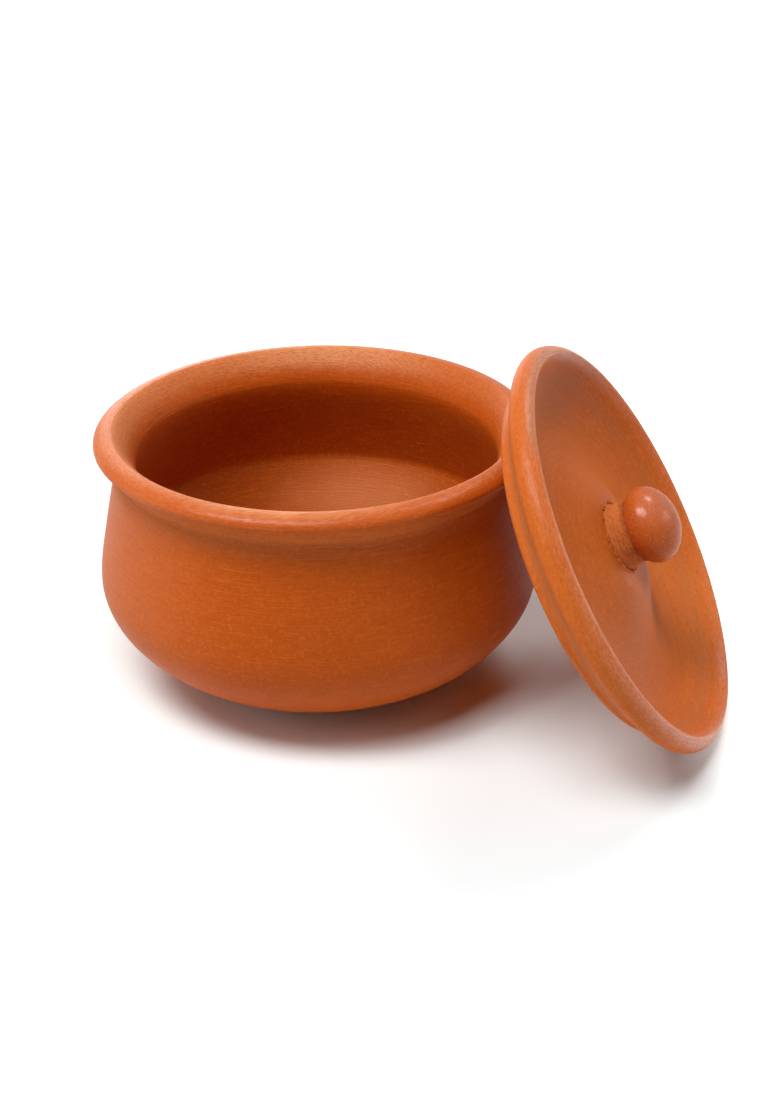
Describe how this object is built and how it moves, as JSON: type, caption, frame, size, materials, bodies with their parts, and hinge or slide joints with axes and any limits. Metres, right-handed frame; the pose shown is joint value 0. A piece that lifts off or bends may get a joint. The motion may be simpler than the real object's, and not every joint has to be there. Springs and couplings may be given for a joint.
{
  "type": "clay curd pot",
  "caption": "Round-bellied terracotta pot with a flared rolled rim for setting and keeping curd, with a loose dish-shaped lid that has a ball knob and leans against the rim.",
  "frame": {"origin": "centre of the pot's flat base, on the surface that it stands on", "axes": "+Z is the pot's own axis, up through its mouth; +X points to the side where the lid leans; -Y is the side that the picture shows"},
  "size_m": [0.2457, 0.2112, 0.1389],
  "materials": {
    "pot_clay": "burnished unglazed terracotta with fine throwing lines",
    "lid_clay": "burnished unglazed terracotta with smoky fire marks",
    "knob_clay": "smooth burnished unglazed terracotta",
    "slip_clay": "rough scored slip, matte"
  },
  "bodies": {
    "pot": {"curd_pot": "pot_clay"},
    "lid": {"lid_dish": "lid_clay", "lid_knob": "knob_clay", "knob_slip_collar": "slip_clay"}
  },
  "joints": [
    {"name": "lid_lift", "type": "slide", "parent": "pot", "child": "lid", "axis": [0.8247, -0.2585, 0.503], "range_m": [0, 0.16]}
  ]
}
